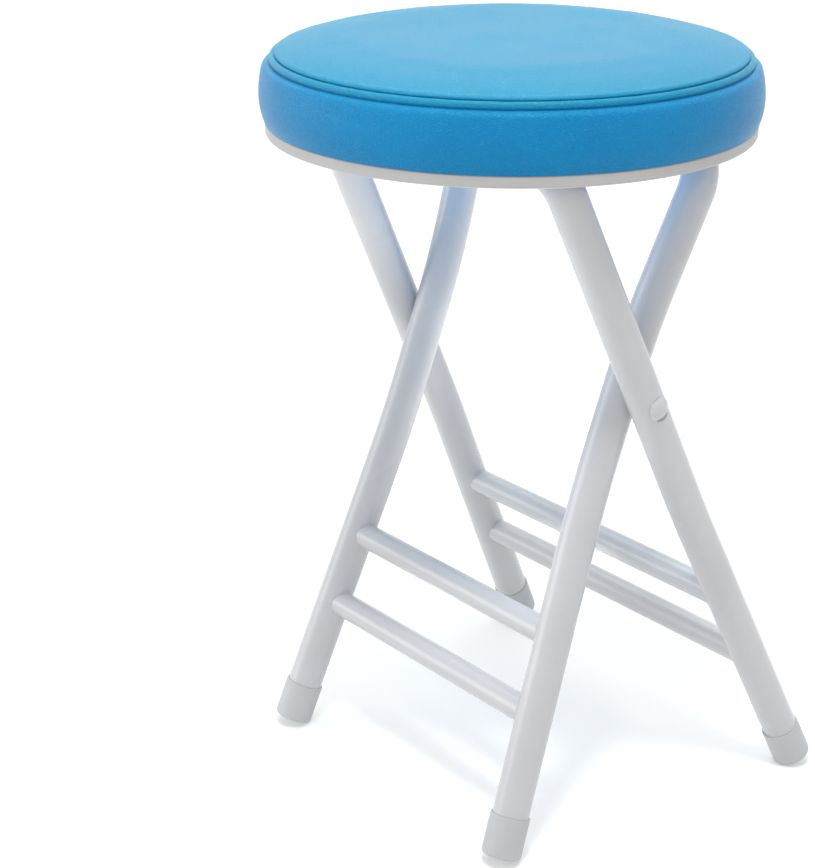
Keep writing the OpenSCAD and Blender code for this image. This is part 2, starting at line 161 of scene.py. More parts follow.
class Graph:
    """A node tree, with one method that adds any node to it."""

    def __init__(self, tree):
        self.tree = tree
        tree.nodes.clear()

    def feed(self, socket, value):
        """Links a value to a socket, or writes a plain number or colour there."""
        if isinstance(value, Value):
            self.tree.links.new(value.socket, socket)
        elif isinstance(value, tuple) and len(value) == 3 and socket.type == "RGBA":
            socket.default_value = (*value, 1.0)
        else:
            socket.default_value = value

    def node(self, kind, settings, inputs, output=0):
        """Adds a node: its type, its settings, its inputs, the output to use."""
        made = self.tree.nodes.new(kind)
        for key, value in settings.items():
            setattr(made, key, value)
        for key, value in inputs.items():
            self.feed(made.inputs[key], value)
        return Value(self, made.outputs[output])


print("node helpers:", Value.__name__, "and", Graph.__name__)

# %% [markdown]
# ## A surface and its patterns
# Every finish here is a few soft patterns, mixed. They read Object coordinates,
# which stay with a piece when it moves, so a scale is how many features go into
# a metre. `ramp` picks the part of a pattern that matters and gives it new ends.

# %% Surfaces


class Surface(Graph):
    """The tree of a material or a world, which ends in one shader."""

    def __init__(self, owner, shader="BsdfPrincipled", end="OutputMaterial"):
        owner.use_nodes = True
        super().__init__(owner.node_tree)
        self.owner = owner
        self.shader = self.tree.nodes.new("ShaderNode" + shader)
        output = self.tree.nodes.new("ShaderNode" + end)
        self.tree.links.new(self.shader.outputs[0], output.inputs["Surface"])

    @property
    def place(self):
        return self.node("ShaderNodeTexCoord", {}, {}, "Object")

    def height(self):
        return self.node("ShaderNodeSeparateXYZ", {}, {0: self.place}, "Z")

    def stretch(self, *scale):
        """Places for a pattern that is longer along the axes of small scale."""
        inputs = {"Vector": self.place, "Scale": scale}
        return self.node("ShaderNodeMapping", {}, inputs)

    def noise(self, scale, detail=2.0, rough=0.5, place=None, output=0):
        """Soft blobs with finer ones on them."""
        inputs = {"Scale": scale, "Detail": detail, "Roughness": rough}
        inputs["Vector"] = place or self.place
        return self.node("ShaderNodeTexNoise", {}, inputs, output)

    def ramp(self, value, low, high, a=0.0, b=1.0):
        """Goes smoothly from a to b while the value goes from low to high."""
        inputs = {"Value": value, "From Min": low, "From Max": high}
        inputs.update({"To Min": a, "To Max": b})
        smooth_step = {"interpolation_type": "SMOOTHSTEP"}
        return self.node("ShaderNodeMapRange", smooth_step, inputs)

    def mix(self, factor, a, b):
        """Colour a where the factor is 0, and colour b where it is 1."""
        # For colours, this node's factor is socket 0, and a and b are 6 and 7.
        rgba = {"data_type": "RGBA"}
        return self.node("ShaderNodeMix", rgba, {0: factor, 6: a, 7: b}, 2)

    def bump(self, height, distance, strength=1.0, normal=None):
        """Shades the surface as if it rose by this distance where height is 1."""
        inputs = {"Height": height, "Distance": distance, "Strength": strength}
        if normal is not None:
            inputs["Normal"] = normal
        return self.node("ShaderNodeBump", {}, inputs)

    def finish(self, **sockets):
        """Fills the shader's sockets and gives back the finished material."""
        for name, value in sockets.items():
            self.feed(self.shader.inputs[name.replace("_", " ")], value)
        return self.owner


def new_material(name):
    return Surface(bpy.data.materials.new(name))


print("patterns and mixes:", [n for n in vars(Surface) if not n.startswith("_")])

# %% [markdown]
# ## The blue vinyl
# Upholstery vinyl is a smooth plastic skin with a pebble pressed into it. The
# pebble is a web of shallow creases round cells about a millimetre wide, so a
# Voronoi edge distance, bent by noise, makes it. Its creases are also painted a
# darker blue, as painted shade. A little noise at finger width keeps the gloss
# from looking like glass. The top panel is painted a slightly lighter and greener
# blue than the side, as painted sheen for the haze that the top catches, so the
# height of a point picks its colours.
# Colours are linear here: half as much light is 0.5, which a screen shows as a
# fairly light tone.

# %% Vinyl material
# The darker blues serve both for random tone and for painted shade in the pebble's
# creases.
VINYL, VINYL_TONE_AND_CREASE_SHADE = (0.003, 0.280, 0.620), (0.002, 0.248, 0.570)
# painted sheen: the top panel's lighter, greener blues stand in for the haze the top
# catches
PANEL_PAINTED_SHEEN, PANEL_SHEEN_TONE_AND_CREASE_SHADE = (0.016, 0.334, 0.576), (0.013, 0.309, 0.546)
PAINTED_SHEEN_Z, PAINTED_SHEEN_BLEND = 457.0 * MM, 3.0 * MM
VINYL_GLOSS = (0.50, 0.95, 1.0)
# How many of each go into a metre
BENDS, PEBBLES, SPECKS, DENTS, CLOUDS = 420.0, 700.0, 2600.0, 26.0, 7.0
BEND = 1.1 * MM
CREASE = 0.22
GRAIN_DEPTH, DENT_DEPTH = 0.28 * MM, 0.60 * MM


def vinyl_material():
    g = new_material("blue vinyl")
    # The noise's colour output is a different push for X, Y and Z.
    bent = g.node(
        "ShaderNodeVectorMath",
        {"operation": "MULTIPLY_ADD"},
        {0: g.noise(BENDS, output="Color"), 1: (BEND, BEND, BEND), 2: g.place},
    )
    edge = {"feature": "DISTANCE_TO_EDGE"}
    cells = g.node("ShaderNodeTexVoronoi", edge, {"Vector": bent, "Scale": PEBBLES})
    pebble = g.ramp(cells, 0.0, CREASE)
    specks, dents, clouds = g.noise(SPECKS), g.noise(DENTS), g.noise(CLOUDS, 1.0)
    tone = g.ramp(clouds * 0.6 + dents * 0.4, 0.32, 0.68)
    # painted sheen mask: the lighter, greener top blues above this height
    panel = g.ramp(g.height(), PAINTED_SHEEN_Z - PAINTED_SHEEN_BLEND, PAINTED_SHEEN_Z + PAINTED_SHEEN_BLEND)
    light, tone_and_crease_shade = g.mix(panel, VINYL, PANEL_PAINTED_SHEEN), g.mix(panel, VINYL_TONE_AND_CREASE_SHADE, PANEL_SHEEN_TONE_AND_CREASE_SHADE)
    colour = g.mix(tone, tone_and_crease_shade, light)
    grain = g.bump(pebble * 0.8 + specks * 0.2, GRAIN_DEPTH)
    return g.finish(
        # painted shade: the pebble's creases are mixed towards the darker blue
        Base_Color=g.mix((1 - pebble) * 0.35, colour, tone_and_crease_shade),
        Roughness=g.ramp(specks * 0.5 + dents * 0.5, 0.3, 0.7, 0.28, 0.38),
        IOR=1.50,
        Specular_IOR_Level=0.34,
        Specular_Tint=VINYL_GLOSS,
        Normal=g.bump(dents, DENT_DEPTH, 0.25, grain),
    )


vinyl = vinyl_material()
print("vinyl nodes:", len(vinyl.node_tree.nodes))

# %% [markdown]
# ## Painted tube
# Powder coat is sprayed as dust and baked, which leaves a faint orange peel. A
# thin clear coat on the shader gives the narrow bright lines along the tubes,
# and the patches of a slightly deeper grey keep it from looking like chalk.

# %% Powder coat
COAT, COAT_SHADE = (0.648, 0.650, 0.664), (0.610, 0.612, 0.628)
PEEL_DEPTH = 0.05 * MM


def powder_coat_material(name, low, high):
    """The pale grey paint, with its roughness between low and high."""
    g = new_material(name)
    peel, dust = g.noise(520.0, rough=0.45), g.noise(3400.0, 1.0)
    patch = g.ramp(g.noise(14.0), 0.35, 0.7)
    return g.finish(
        Base_Color=g.mix(patch, COAT, COAT_SHADE),
        Roughness=g.ramp(dust * 0.4 + patch * 0.6, 0.2, 0.8, low, high),
        Coat_Weight=0.25,
        Coat_Roughness=0.16,
        Normal=g.bump(peel * 0.85 + dust * 0.15, PEEL_DEPTH, 0.6),
    )


coat = powder_coat_material("satin powder coat", 0.24, 0.32)
rivet_paint = powder_coat_material("painted rivet", 0.26, 0.36)
print("painted:", coat.name, "and", rivet_paint.name)

# %% [markdown]
# ## Moulded plastic
# The caps and the seat pan are moulded, with the fine skin that a spark-eroded
# mould leaves, and with broad flow marks. The hollow under the seat is painted
# the cover's blue as painted bounce light: it throws the blue glow that the
# legs' upper ends catch.

# %% Moulded plastic
PLASTIC, PAN, BLOCK = (0.585, 0.592, 0.602), (0.565, 0.558, 0.552), (0.52, 0.52, 0.51)
# painted bounce light: blue on the hollow's roof, which throws a blue glow onto the
# legs
PAINTED_BOUNCE_BLUE = (0.02, 0.40, 0.88)
PAINTED_BOUNCE_ABOVE, PAINTED_BOUNCE_EDGE = 430.0 * MM, 0.5 * MM
SPARK_DEPTH = 0.03 * MM


def moulded_material(name, base, rough, painted_bounce=False):
    """Plastic of one colour. With painted bounce light, it turns blue above a height.
    """
    g = new_material(name)
    spark = g.noise(2400.0, rough=0.6)
    flow = g.ramp(g.noise(30.0), 0.3, 0.75)
    colour = g.mix(flow * 0.7, base, tuple(c * 0.93 for c in base))
    if painted_bounce:
        # painted bounce light: blue above this height
        painted_bounce_mask = g.ramp(g.height(), PAINTED_BOUNCE_ABOVE, PAINTED_BOUNCE_ABOVE + PAINTED_BOUNCE_EDGE)
        colour = g.mix(painted_bounce_mask, colour, g.mix(flow * 0.3, PAINTED_BOUNCE_BLUE, VINYL))
    low, high = rough - 0.05, rough + 0.06
    return g.finish(
        Base_Color=colour,
        Roughness=g.ramp(spark * 0.5 + flow * 0.5, 0.2, 0.8, low, high),
        Normal=g.bump(spark, SPARK_DEPTH, 0.7),
    )


cap_plastic = moulded_material("moulded cap plastic", PLASTIC, 0.48)
pan_plastic = moulded_material("moulded pan plastic", PAN, 0.42, painted_bounce=True)
block_plastic = moulded_material("moulded block plastic", BLOCK, 0.45)
print("moulded:", [m.name for m in (cap_plastic, pan_plastic, block_plastic)])

# %% [markdown]
# ## Plated steel and plywood
# The straps and screws are zinc plated: cloudy, with a soft brightness and faint
# drawing lines along the strip. The board shows wood grain, which is noise
# stretched along X, and the bands of its plies.

# %% Zinc and wood
ZINC, ZINC_DULL = (0.62, 0.63, 0.64), (0.50, 0.51, 0.53)
WOOD_DARK, WOOD_LIGHT = (0.52, 0.34, 0.18), (0.68, 0.50, 0.30)
LINE_DEPTH, WOOD_DEPTH = 0.02 * MM, 0.1 * MM


def plated_material():
    g = new_material("zinc plated steel")
    bloom = g.ramp(g.noise(260.0, 3.0), 0.3, 0.7)
    lines = g.noise(900.0, place=g.stretch(0.12, 1.0, 1.0))
    return g.finish(
        Base_Color=g.mix(bloom, ZINC, ZINC_DULL),
        Metallic=1.0,
        Roughness=g.ramp(lines * 0.5 + bloom * 0.5, 0.3, 0.7, 0.26, 0.42),
        Normal=g.bump(lines, LINE_DEPTH, 0.5),
    )


def plywood_material():
    g = new_material("plywood board")
    grain = g.noise(180.0, 4.0, 0.6, place=g.stretch(0.08, 1.0, 1.0))
    bands = {"Vector": g.place, "Scale": 105.0, "Distortion": 0.6, "Detail": 1.0}
    plies = g.node("ShaderNodeTexWave", {"bands_direction": "Z"}, bands)
    figure = g.ramp(grain * 0.7 + plies * 0.3, 0.3, 0.7)
    return g.finish(
        Base_Color=g.mix(figure, WOOD_DARK, WOOD_LIGHT),
        Roughness=0.7,
        Normal=g.bump(grain, WOOD_DEPTH, 0.5),
    )


plated = plated_material()
plywood = plywood_material()
print("materials:", [m.name for m in bpy.data.materials])

# %% [markdown]
# ## Dress the solid parts
# Each solid keeps its mesh. Only its material slot changes, by the slot name
# that the record gives it. The foam is hidden in the cushion, so it takes the
# cover's finish.

# %% Materials for the packed nodes
FINISH = {
    "powder_coat": coat,
    "rivet_paint": rivet_paint,
    "cap_plastic": cap_plastic,
    "pan_plastic": pan_plastic,
    "block_plastic": block_plastic,
    "plated_steel": plated,
    "plywood": plywood,
    "foam": vinyl,
    "vinyl": vinyl,
}
for part in frame["record"]["subparts"]:
    mesh = nodes[part["node"]].data
    mesh.materials.clear()
    mesh.materials.append(FINISH[part["material_slot"]])

# %% [markdown]
# ## Lines made of arcs
# The cushion's side view is drawn as circle arcs, so two helpers place a point
# and a row of points round a centre. A third softens a row of points, as thick
# vinyl rounds off a crease: it spaces the points evenly, averages each with its
# neighbours, and leaves the two ends where they are.

# %% Line helpers
ROUND_STEP, ROUND_REACH = 0.35 * MM, 0.65 * MM


def polar(centre, radius, degrees):
    """The point at this distance and angle from a centre."""
    a = math.radians(degrees)
    return (centre[0] + radius * math.cos(a), centre[1] + radius * math.sin(a))


def arc(centre, radius, start, end, count):
    """Points along a circle, from one angle to another, in so many steps."""
    steps = [start + (end - start) * i / count for i in range(count + 1)]
    return [polar(centre, radius, a) for a in steps]


def rounded(points):
    """The same line with its points evened out and its creases softened."""
    x, z = np.array(points).T
    along = np.concatenate([[0], np.cumsum(np.hypot(np.diff(x), np.diff(z)))])
    length = along[-1]
    places = np.linspace(0, length, int(length / ROUND_STEP) + 1)
    even = np.stack([np.interp(places, along, x), np.interp(places, along, z)])
    weights = np.exp(-(((places[:, None] - places) / ROUND_REACH) ** 2))
    weights /= weights.sum(axis=1, keepdims=True)
    soft = even @ weights.T
    blend = np.clip(np.minimum(places, length - places) / (2 * ROUND_REACH), 0, 1)
    return [tuple(p) for p in (even + (soft - even) * blend).T]


print("points of a quarter turn in three steps:", len(arc((0, 0), 1, 0, 90, 3)))

# %% [markdown]
# ## The cushion's side view
# The cushion is a disc of foam in a sewn cover. Its side bulges, then turns in
# to a seam, a round bead of piping, a second seam, and the domed top panel.
# That is one outline spun about the middle, so it is written from the hem up.
# Its sizes are those that the solid parts were made from, apart from two places.
# The sewn edge is rounded and its seams are drawn in a little differently, and
# the crown is lower and flatter, because the foam's pressure raises it again
# further down.

# %% Cushion sizes
# The board and the hem that the cushion sits on, its top, and its widest level
HEM_Z, PAD_R = 423.0 * MM, 149.1 * MM
TOP_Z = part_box("seat_cover")[1].z
FOAM_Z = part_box("seat_board")[1].z
BOARD_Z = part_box("seat_board")[0].z
BOARD_R, WALL_R = 140.0 * MM, 142.0 * MM
BULGE_Z = HEM_Z + 15.0 * MM
# The arcs up the side, and the degrees at which the upper two end
UNDER_R, SIDE_R, SHOULDER_R = 40.0 * MM, 60.0 * MM, 5.0 * MM
SIDE_TURN, SHOULDER_TURN = 14.8, 96.0
# The bead, the panel's rolled edge, and how far the seams lie apart and go in
BEAD_R, EDGE_R = 2.6 * MM, 3.2 * MM
GROOVE_IN = 2.2 * MM
OUTER_DIP, INNER_DIP = 0.2 * MM, 1.2 * MM
# The panel's edge below the top, the crown's own height, and its flat middle
CROWN_DROP, CROWN_H = 8.1 * MM, 6.6 * MM
FLAT_R = 90.0 * MM
print("cushion height:", round((TOP_Z - HEM_Z) / MM, 1), "mm")

# %% [markdown]
# ## The two seams come first
# Each seam is the bottom of a groove, where two forms meet. The shoulder's arc
# ends at the outer one, and the panel's rolled edge starts at the inner one. So
# the shoulder's circle places the first seam, and the groove's width the second.

# %% Seams
EDGE_LEAN = 10  # degrees up the panel edge's circle, where the inner seam lies

side_c = (PAD_R - SIDE_R, BULGE_Z)
shoulder_c = polar(side_c, SIDE_R - SHOULDER_R, SIDE_TURN)
outer_seam = polar(shoulder_c, SHOULDER_R, SHOULDER_TURN)
edge_z = TOP_Z - CROWN_DROP
edge_rise = EDGE_R * (1 - math.sin(math.radians(EDGE_LEAN)))
inner_seam = (outer_seam[0] - GROOVE_IN, edge_z - edge_rise)
edge_c = polar(inner_seam, EDGE_R, 180 + EDGE_LEAN)
seams = (outer_seam, inner_seam)
print("seams at r =", [round(r / MM, 1) for r, _ in seams], "mm")


def seam_distance(r, z):
    """How far a point of the side view lies from the nearest seam."""
    return min(math.hypot(r - seam_r, z - seam_z) for seam_r, seam_z in seams)


# %% [markdown]
# ## Bead and crown
# The bead's circle has a known radius and passes through both seams, so half
# their distance and Pythagoras give its centre. The top panel is a crown: it
# climbs steeply from the rolled edge and is nearly flat halfway in, which a
# cubic curve does. Its middle stays flat.

# %% Bead and crown lines
BEAD_TRIM = 14  # degrees at each end of the bead that its groove hides
CROWN_STEPS = 20


def bead_arc():
    """The bead between the seams, as far as it shows."""
    run = (inner_seam[0] - outer_seam[0], inner_seam[1] - outer_seam[1])
    half = math.hypot(*run) / 2
    out = math.degrees(math.atan2(run[1], run[0])) - 90
    middle = [(a + b) / 2 for a, b in zip(outer_seam, inner_seam)]
    centre = polar(middle, -math.sqrt(BEAD_R**2 - half**2), out)
    spread = math.degrees(math.asin(half / BEAD_R)) - BEAD_TRIM
    return arc(centre, BEAD_R, out - spread, out + spread, 14)


def crown_line():
    """From the panel's edge up to its flat middle, steep first."""
    line = []
    for i in range(CROWN_STEPS + 1):
        t = 1 - i / CROWN_STEPS
        line.append((FLAT_R + (edge_c[0] - FLAT_R) * t, edge_z + CROWN_H * (1 - t**3)))
    return line


crown = crown_line()
print("crown:", round((crown[-1][1] - crown[0][1]) / MM, 1), "mm high")

# %% [markdown]
# ## From the hem to the middle
# Now the forms are joined in order. Each seam's bottom is set a little deeper,
# the way its thread pulls, and the whole sewn edge is rounded in one go, so that
# its creases are soft. The long arcs below and the crown above stay as drawn.

# %% The whole outline
SEAM_PULL = 205  # the way a seam's thread pulls, in degrees: in and down
ARC_TRIM = 10  # degrees of the shoulder and the edge that their grooves hide
SOFT_CROWN = 4  # crown points that still belong to the sewn edge
FLAT_STEPS = 10


def cushion_outline():
    """The points up the cushion's side, from the hem to near the middle."""
    under_c = (PAD_R - UNDER_R, BULGE_Z)
    under_a = math.degrees(math.asin((BULGE_Z - HEM_Z) / UNDER_R))
    sewn_edge = (
        arc(shoulder_c, SHOULDER_R, SIDE_TURN, SHOULDER_TURN - ARC_TRIM, 16)
        + [polar(outer_seam, OUTER_DIP, SEAM_PULL)]
        + bead_arc()
        + [polar(inner_seam, INNER_DIP, SEAM_PULL)]
        + arc(edge_c, EDGE_R, EDGE_LEAN + ARC_TRIM, 88, 10)
        + crown[1:SOFT_CROWN]
    )
    flat = [(FLAT_R * (1 - i / FLAT_STEPS), crown[-1][1]) for i in range(1, FLAT_STEPS)]
    # Each arc starts just past the last one's end, so no two points coincide.
    return (
        arc(under_c, UNDER_R, -under_a, 0, 12)
        + arc(side_c, SIDE_R, 1.2, SIDE_TURN - 1, 12)
        + rounded(sewn_edge)
        + crown[SOFT_CROWN:]
        + flat
    )


outline = cushion_outline()
print("outline points:", len(outline))

# %% [markdown]
# ## Spin the outline
# A modifier could turn the outline into a solid. Written out, the rings and
# spokes are just as short, and each point can be nudged on its way. A fan of
# triangles closes the form at the axis, top and bottom.

# %% Spin and smooth
SPOKES = 320


def spin(profile, name, shape=None):
    """A closed solid from a profile. shape(r, z, angle) may nudge its points."""
    mesh = bmesh.new()
    rings = []
    for r, z in profile:
        ring = []
        for k in range(SPOKES):
            a = 2 * math.pi * k / SPOKES
            rr, zz = shape(r, z, a) if shape else (r, z)
            ring.append(mesh.verts.new((rr * math.cos(a), rr * math.sin(a), zz)))
        rings.append(ring)
    for low, high in zip(rings, rings[1:]):
        for k in range(SPOKES):
            m = (k + 1) % SPOKES
            mesh.faces.new((low[k], low[m], high[m], high[k]))
    for ring, (_, z) in ((rings[0], profile[0]), (rings[-1], profile[-1])):
        pole = mesh.verts.new((0, 0, z))
        for k in range(SPOKES):
            mesh.faces.new((ring[k], ring[(k + 1) % SPOKES], pole))
    bmesh.ops.recalc_face_normals(mesh, faces=mesh.faces)
    data = bpy.data.meshes.new(name)
    mesh.to_mesh(data)
    mesh.free()
    return put(name, data)


def smooth(piece, degrees):
    """Smooth shading that keeps edges sharper than this angle."""
    piece.data.shade_smooth()
    piece.data.set_sharp_from_angle(angle=math.radians(degrees))


print("spokes:", SPOKES)

# %% [markdown]
# ## Give the spun form life
# A spun form is too perfect. Sewn vinyl pulls a little at each seam, so the
# surface near a seam gets puckers: shallow waves that fade out within a
# centimetre. The top panel also lies a little slack in three broad waves. They
# come from fixed sine waves, so each run makes the same ones.

# %% Cushion mesh
HUB_R = 20.0 * MM
# Under the foam, round the board's edge, and down inside the pan's wall
UNDER = [
    (HUB_R, FOAM_Z),
    (BOARD_R, FOAM_Z),
    (BOARD_R, BOARD_Z),
    (WALL_R, BOARD_Z),
    (WALL_R, HEM_Z),
]
# How many waves go round the cushion, and each one's share
PUCKERS = ((37, 0.42), (61, 0.30), (83, 0.18), (129, 0.10))
PUCKER_H, PUCKER_REACH = 0.16 * MM, 6.0 * MM
PUCKER_OUT, PUCKER_UP = 0.8, 0.6
PANEL_SEED, SIDE_SEED = 1.0, 4.0
SLACK_H, SLACK_WAVES, SLACK_PHASE = 0.14 * MM, 3, 0.6


def pucker(angle, seed):
    """A sum of fixed waves round the cushion, between -1 and 1."""
    return sum(
        share * math.sin(count * angle + seed * (i + 1.7))
        for i, (count, share) in enumerate(PUCKERS)
    )


def sewn(r, z, a):
    """Moves a point of the spun form for the pull of the nearest seam."""
    if z < HEM_Z + 2 * MM or r < FLAT_R:
        return r, z
    on_panel = z > inner_seam[1]
    fade = math.exp(-((seam_distance(r, z) / PUCKER_REACH) ** 2))
    lift = PUCKER_H * fade * pucker(a, PANEL_SEED if on_panel else SIDE_SEED)
    if on_panel:
        across = math.sin(math.pi * (r - FLAT_R) / (PAD_R - FLAT_R))
        z += SLACK_H * math.sin(SLACK_WAVES * a + SLACK_PHASE) * across
    return r + lift * PUCKER_OUT, z + lift * PUCKER_UP


cushion = spin(UNDER + outline, "cushion", sewn)
print("cushion points:", len(cushion.data.vertices))

# %% [markdown]
# ## Let the foam push the cover out
# Foam presses on its cover everywhere, and the hem and the seams hold it back.
# Drawing that by hand never looks quite right, so a cloth simulation does it. A
# coarse closed copy is blown up with a little pressure while its underside and
# its seam stay pinned. The fine cushion then borrows the moves of the nearest
# coarse points, so its grooves stay crisp.

# %% A coarse copy, and what holds it
SWELL = 0.9 * MM
PRESSURE = 4.0
VOXEL = 6.0 * MM
FRAMES = 20


def coarse_cushion():
    """A plainer cushion of even square faces, without the grooves."""
    low = [p for p in outline if p[1] < outer_seam[1] - 1 * MM and p[0] > WALL_R]
    high = [p for p in outline if p[1] > inner_seam[1] + 2 * MM]
    source = spin([(HUB_R, HEM_Z)] + low + high, "coarse")
    remesh = source.modifiers.new("even", "REMESH")
    remesh.mode = "VOXEL"
    remesh.voxel_size = VOXEL
    return applied(source, "coarse cushion")


def hold(coarse):
    """Pins the underside and the points near a seam, and names the group."""
    held = coarse.vertex_groups.new(name="held")
    for v in coarse.data.vertices:
        near = seam_distance(math.hypot(v.co.x, v.co.y), v.co.z)
        if v.co.z < HEM_Z + 3 * MM or near < VOXEL:
            held.add([v.index], 1.0, "REPLACE")
    return held.name


def blown_moves():
    """Where a coarse cushion's points start, and how far the cloth moves them."""
    coarse = coarse_cushion()
    start = [v.co.copy() for v in coarse.data.vertices]
    cloth = coarse.modifiers.new("cloth", "CLOTH")
    cloth.settings.use_pressure = True
    cloth.settings.uniform_pressure_force = PRESSURE
    cloth.settings.vertex_group_mass = hold(coarse)
    cloth.settings.effector_weights.gravity = 0.0
    for frame_number in range(1, FRAMES + 1):
        scene.frame_set(frame_number)
    graph = bpy.context.evaluated_depsgraph_get()
    end = [v.co.copy() for v in coarse.evaluated_get(graph).data.vertices]
    bpy.data.objects.remove(coarse)
    scene.frame_set(1)
    return start, [b - a for a, b in zip(start, end)]


print("cloth pressure:", PRESSURE, "over", FRAMES, "frames")

# %% [markdown] ## The fine cushion follows Each fine point takes a mean of its
# nearest coarse moves, the nearer the more. The inside, which lies round the
# board, stays still. A long move is bent back towards a limit instead of being
# cut off, so no edge shows where it starts.

# %% Borrow the moves
NEIGHBOURS = 24
BORROW_REACH = 2 * VOXEL


def is_inside(p):
    """True at the hem and on the faces that lie round the board."""
    return p.z < HEM_Z + 2 * MM or math.hypot(p.x, p.y) < BOARD_R and p.z <= FOAM_Z


def borrow(piece, start, moves):
    """Moves each point as its nearest coarse points moved, up to the swell."""
    tree = KDTree(len(start))
    for i, p in enumerate(start):
        tree.insert(p, i)
    tree.balance()
    for v in piece.data.vertices:
        if is_inside(v.co):
            continue
        near = tree.find_n(v.co, NEIGHBOURS)
        weights = [math.exp(-((d / BORROW_REACH) ** 2)) for _, _, d in near]
        total = sum((moves[i] * w for (_, i, _), w in zip(near, weights)), Vector())
        move = total / sum(weights)
        if move.length > 0:
            v.co += move * (SWELL * math.tanh(move.length / SWELL) / move.length)
    piece.data.update()


start, moves = blown_moves()
print("cloth moved up to", round(max(m.length for m in moves) / MM, 2), "mm")
borrow(cushion, start, moves)
smooth(cushion, 50)
cushion.data.materials.append(vinyl)
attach(cushion, "seat")
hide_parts("seat_cover", "seat_foam")
print("cushion faces:", len(cushion.data.polygons))

# %% [markdown]
# ## Weld beads
# Each rung is cut to the leg's round side and welded all round. The bead
# follows the line where two cylinders meet, and its ripples repeat along it. A
# Geometry Nodes tree does that: it takes the line, swells and narrows a round
# section along it, and gives back a mesh.

# %% Weld bead tree
WELD_INPUTS = (
    ("Geometry", "NodeSocketGeometry", None),
    ("Bead radius", "NodeSocketFloat", 0.65 * MM),
    ("Ripples", "NodeSocketFloat", 26.0),
    ("Ripple depth", "NodeSocketFloat", 0.14),
    ("Finish", "NodeSocketMaterial", None),
)
BEAD_SIDES = 10


def weld_tree():
    """The node tree that turns a closed line into a rippled bead."""
    tree = bpy.data.node_groups.new("weld bead", "GeometryNodeTree")
    for name, kind, value in WELD_INPUTS:
        socket = tree.interface.new_socket(name=name, in_out="INPUT", socket_type=kind)
        if value is not None:
            socket.default_value = value
    tree.interface.new_socket(
        name="Geometry", in_out="OUTPUT", socket_type="NodeSocketGeometry"
    )
    g = Graph(tree)
    given = {
        name: g.node("NodeGroupInput", {}, {}, name) for name, _, _ in WELD_INPUTS
    }
    line = g.node("GeometryNodeMeshToCurve", {}, {"Mesh": given["Geometry"]})
    along = g.node("GeometryNodeSplineParameter", {}, {}, "Factor")
    wave = (along * given["Ripples"] * (2 * math.pi)).sine()
    swell = wave * given["Ripple depth"] + 1.0
    thick = g.node("GeometryNodeSetCurveRadius", {}, {"Curve": line, "Radius": swell})
    size = {"Resolution": BEAD_SIDES, "Radius": given["Bead radius"]}
    section = g.node("GeometryNodeCurvePrimitiveCircle", {}, size)
    sweep = {"Curve": thick, "Profile Curve": section}
    bead = g.node("GeometryNodeCurveToMesh", {}, sweep)
    real = g.node("GeometryNodeRealizeInstances", {}, {"Geometry": bead})
    painted = {"Geometry": real, "Material": given["Finish"]}
    result = g.node("GeometryNodeSetMaterial", {}, painted)
    g.feed(tree.nodes.new("NodeGroupOutput").inputs["Geometry"], result)
    return tree


def run_tree(tree, data, name, **values):
    """Runs a tree on a mesh and returns the result as a plain object."""
    source = put(name + " source", data)
    modifier = source.modifiers.new("nodes", "NODES")
    modifier.node_group = tree
    # A modifier knows its inputs by their identifiers, and not by their names.
    for socket in tree.interface.items_tree:
        if socket.in_out == "INPUT" and socket.name in values:
            modifier[socket.identifier] = values[socket.name]
    return applied(source, name)


weld = weld_tree()
print("weld tree nodes:", len(weld.nodes))

# %% [markdown]
# ## Where a rung meets a leg
# The rung's skin is a ring of lines along X. Each line is followed until it is
# one leg radius away from the leg's axis, which is a quadratic equation for each
# line. The legs lean with their frame and splay below their soft bend, so the
# axis has both angles in it.

# %% The line of a weld
LEG_R, RUNG_R = 11.25 * MM, 8.25 * MM
LINE_POINTS = 96
# Each frame's lean and its lower legs' splay, in degrees, and its rungs
RUNGS = {
    "outer_frame": (24.3, 5.5, ("outer_upper_rung", "outer_lower_rung")),
    "inner_frame": (-21.4, 4.7, ("inner_upper_rung", "inner_lower_rung")),
}


def joint_line(rung, lean, splay, side):
    """The closed line where a rung's round side meets the leg at one side."""
    low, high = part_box(rung)
    middle = (low + high) / 2
    tilt = Matrix.Rotation(math.radians(lean), 3, "X")
    angle = math.radians(splay)
    down = tilt @ Vector((side * math.sin(angle), 0, -math.cos(angle)))
    across = tilt @ Vector((0, 1, 0))
    up = across.cross(Vector((1, 0, 0)))
    # The rung's tip lies on the leg's skin, so the leg's axis is found from the
    # rung's longest point: the saddle reaches furthest where the rung is widest.
    tip = math.sqrt(LEG_R**2 - RUNG_R**2) / math.cos(angle)
    axis = Vector((side * (high.x + tip), middle.y, middle.z))
    # What is left of X and of the way to the axis, square to the leg
    x_axis = Vector((side, 0, 0))
    run = x_axis - down * x_axis.dot(down)
    points = []
    for k in range(LINE_POINTS):
        a = 2 * math.pi * k / LINE_POINTS
        offset = across * (RUNG_R * math.cos(a)) + up * (RUNG_R * math.sin(a))
        start = Vector((0, middle.y, middle.z)) + offset
        flat = (axis - start) - down * (axis - start).dot(down)
        qa, qb, qc = run.dot(run), -2 * run.dot(flat), flat.dot(flat) - LEG_R**2
        root = (-qb - math.sqrt(max(qb * qb - 4 * qa * qc, 0))) / (2 * qa)
        points.append(start + x_axis * root)
    return points


def closed_line(points):
    """A mesh of edges that run through the points and back to the first."""
    data = bpy.data.meshes.new("line")
    edges = [(i, (i + 1) % len(points)) for i in range(len(points))]
    data.from_pydata(points, edges, [])
    return data


print("rungs:", sum(len(rungs) for _, _, rungs in RUNGS.values()))

# %% [markdown]
# ## The welds of each frame
# Each rung has a bead at both ends. The four beads of a frame move together, so
# they are joined into one piece, which takes the tube's paint.

